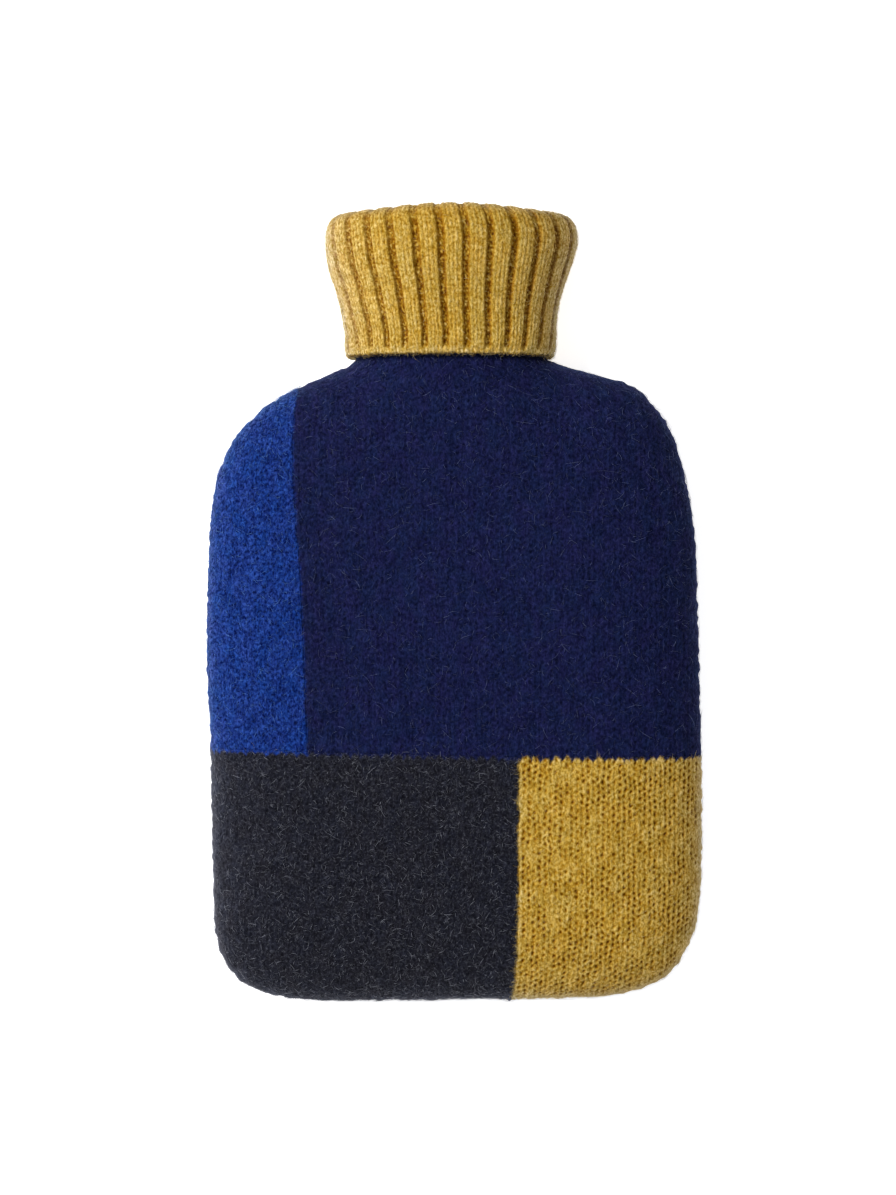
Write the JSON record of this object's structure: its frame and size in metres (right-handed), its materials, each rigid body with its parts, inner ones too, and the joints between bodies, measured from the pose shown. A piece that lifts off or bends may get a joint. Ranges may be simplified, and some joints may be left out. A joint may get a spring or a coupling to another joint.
{
  "type": "hot water bottle cover",
  "caption": "Knitted wool cover for a hot water bottle, with a rounded body in plain colour blocks and a ribbed collar rolled over outwards, lying on its back.",
  "frame": {"origin": "under the middle of the whole cover, at the height of the surface it lies on", "axes": "+Z out of the front, +Y towards the collar, +X to the right as the front is seen with its collar up"},
  "size_m": [0.211, 0.3375, 0.0509],
  "materials": {
    "navy_wool": "felted lambswool, brushed",
    "royal_blue_wool": "felted lambswool, brushed",
    "charcoal_wool": "felted lambswool, brushed, with pale hairs",
    "mustard_wool": "lambswool, lightly brushed"
  },
  "bodies": {
    "root": {"front_panel": "navy_wool", "back_panel": "navy_wool", "collar": "mustard_wool"}
  },
  "joints": []
}
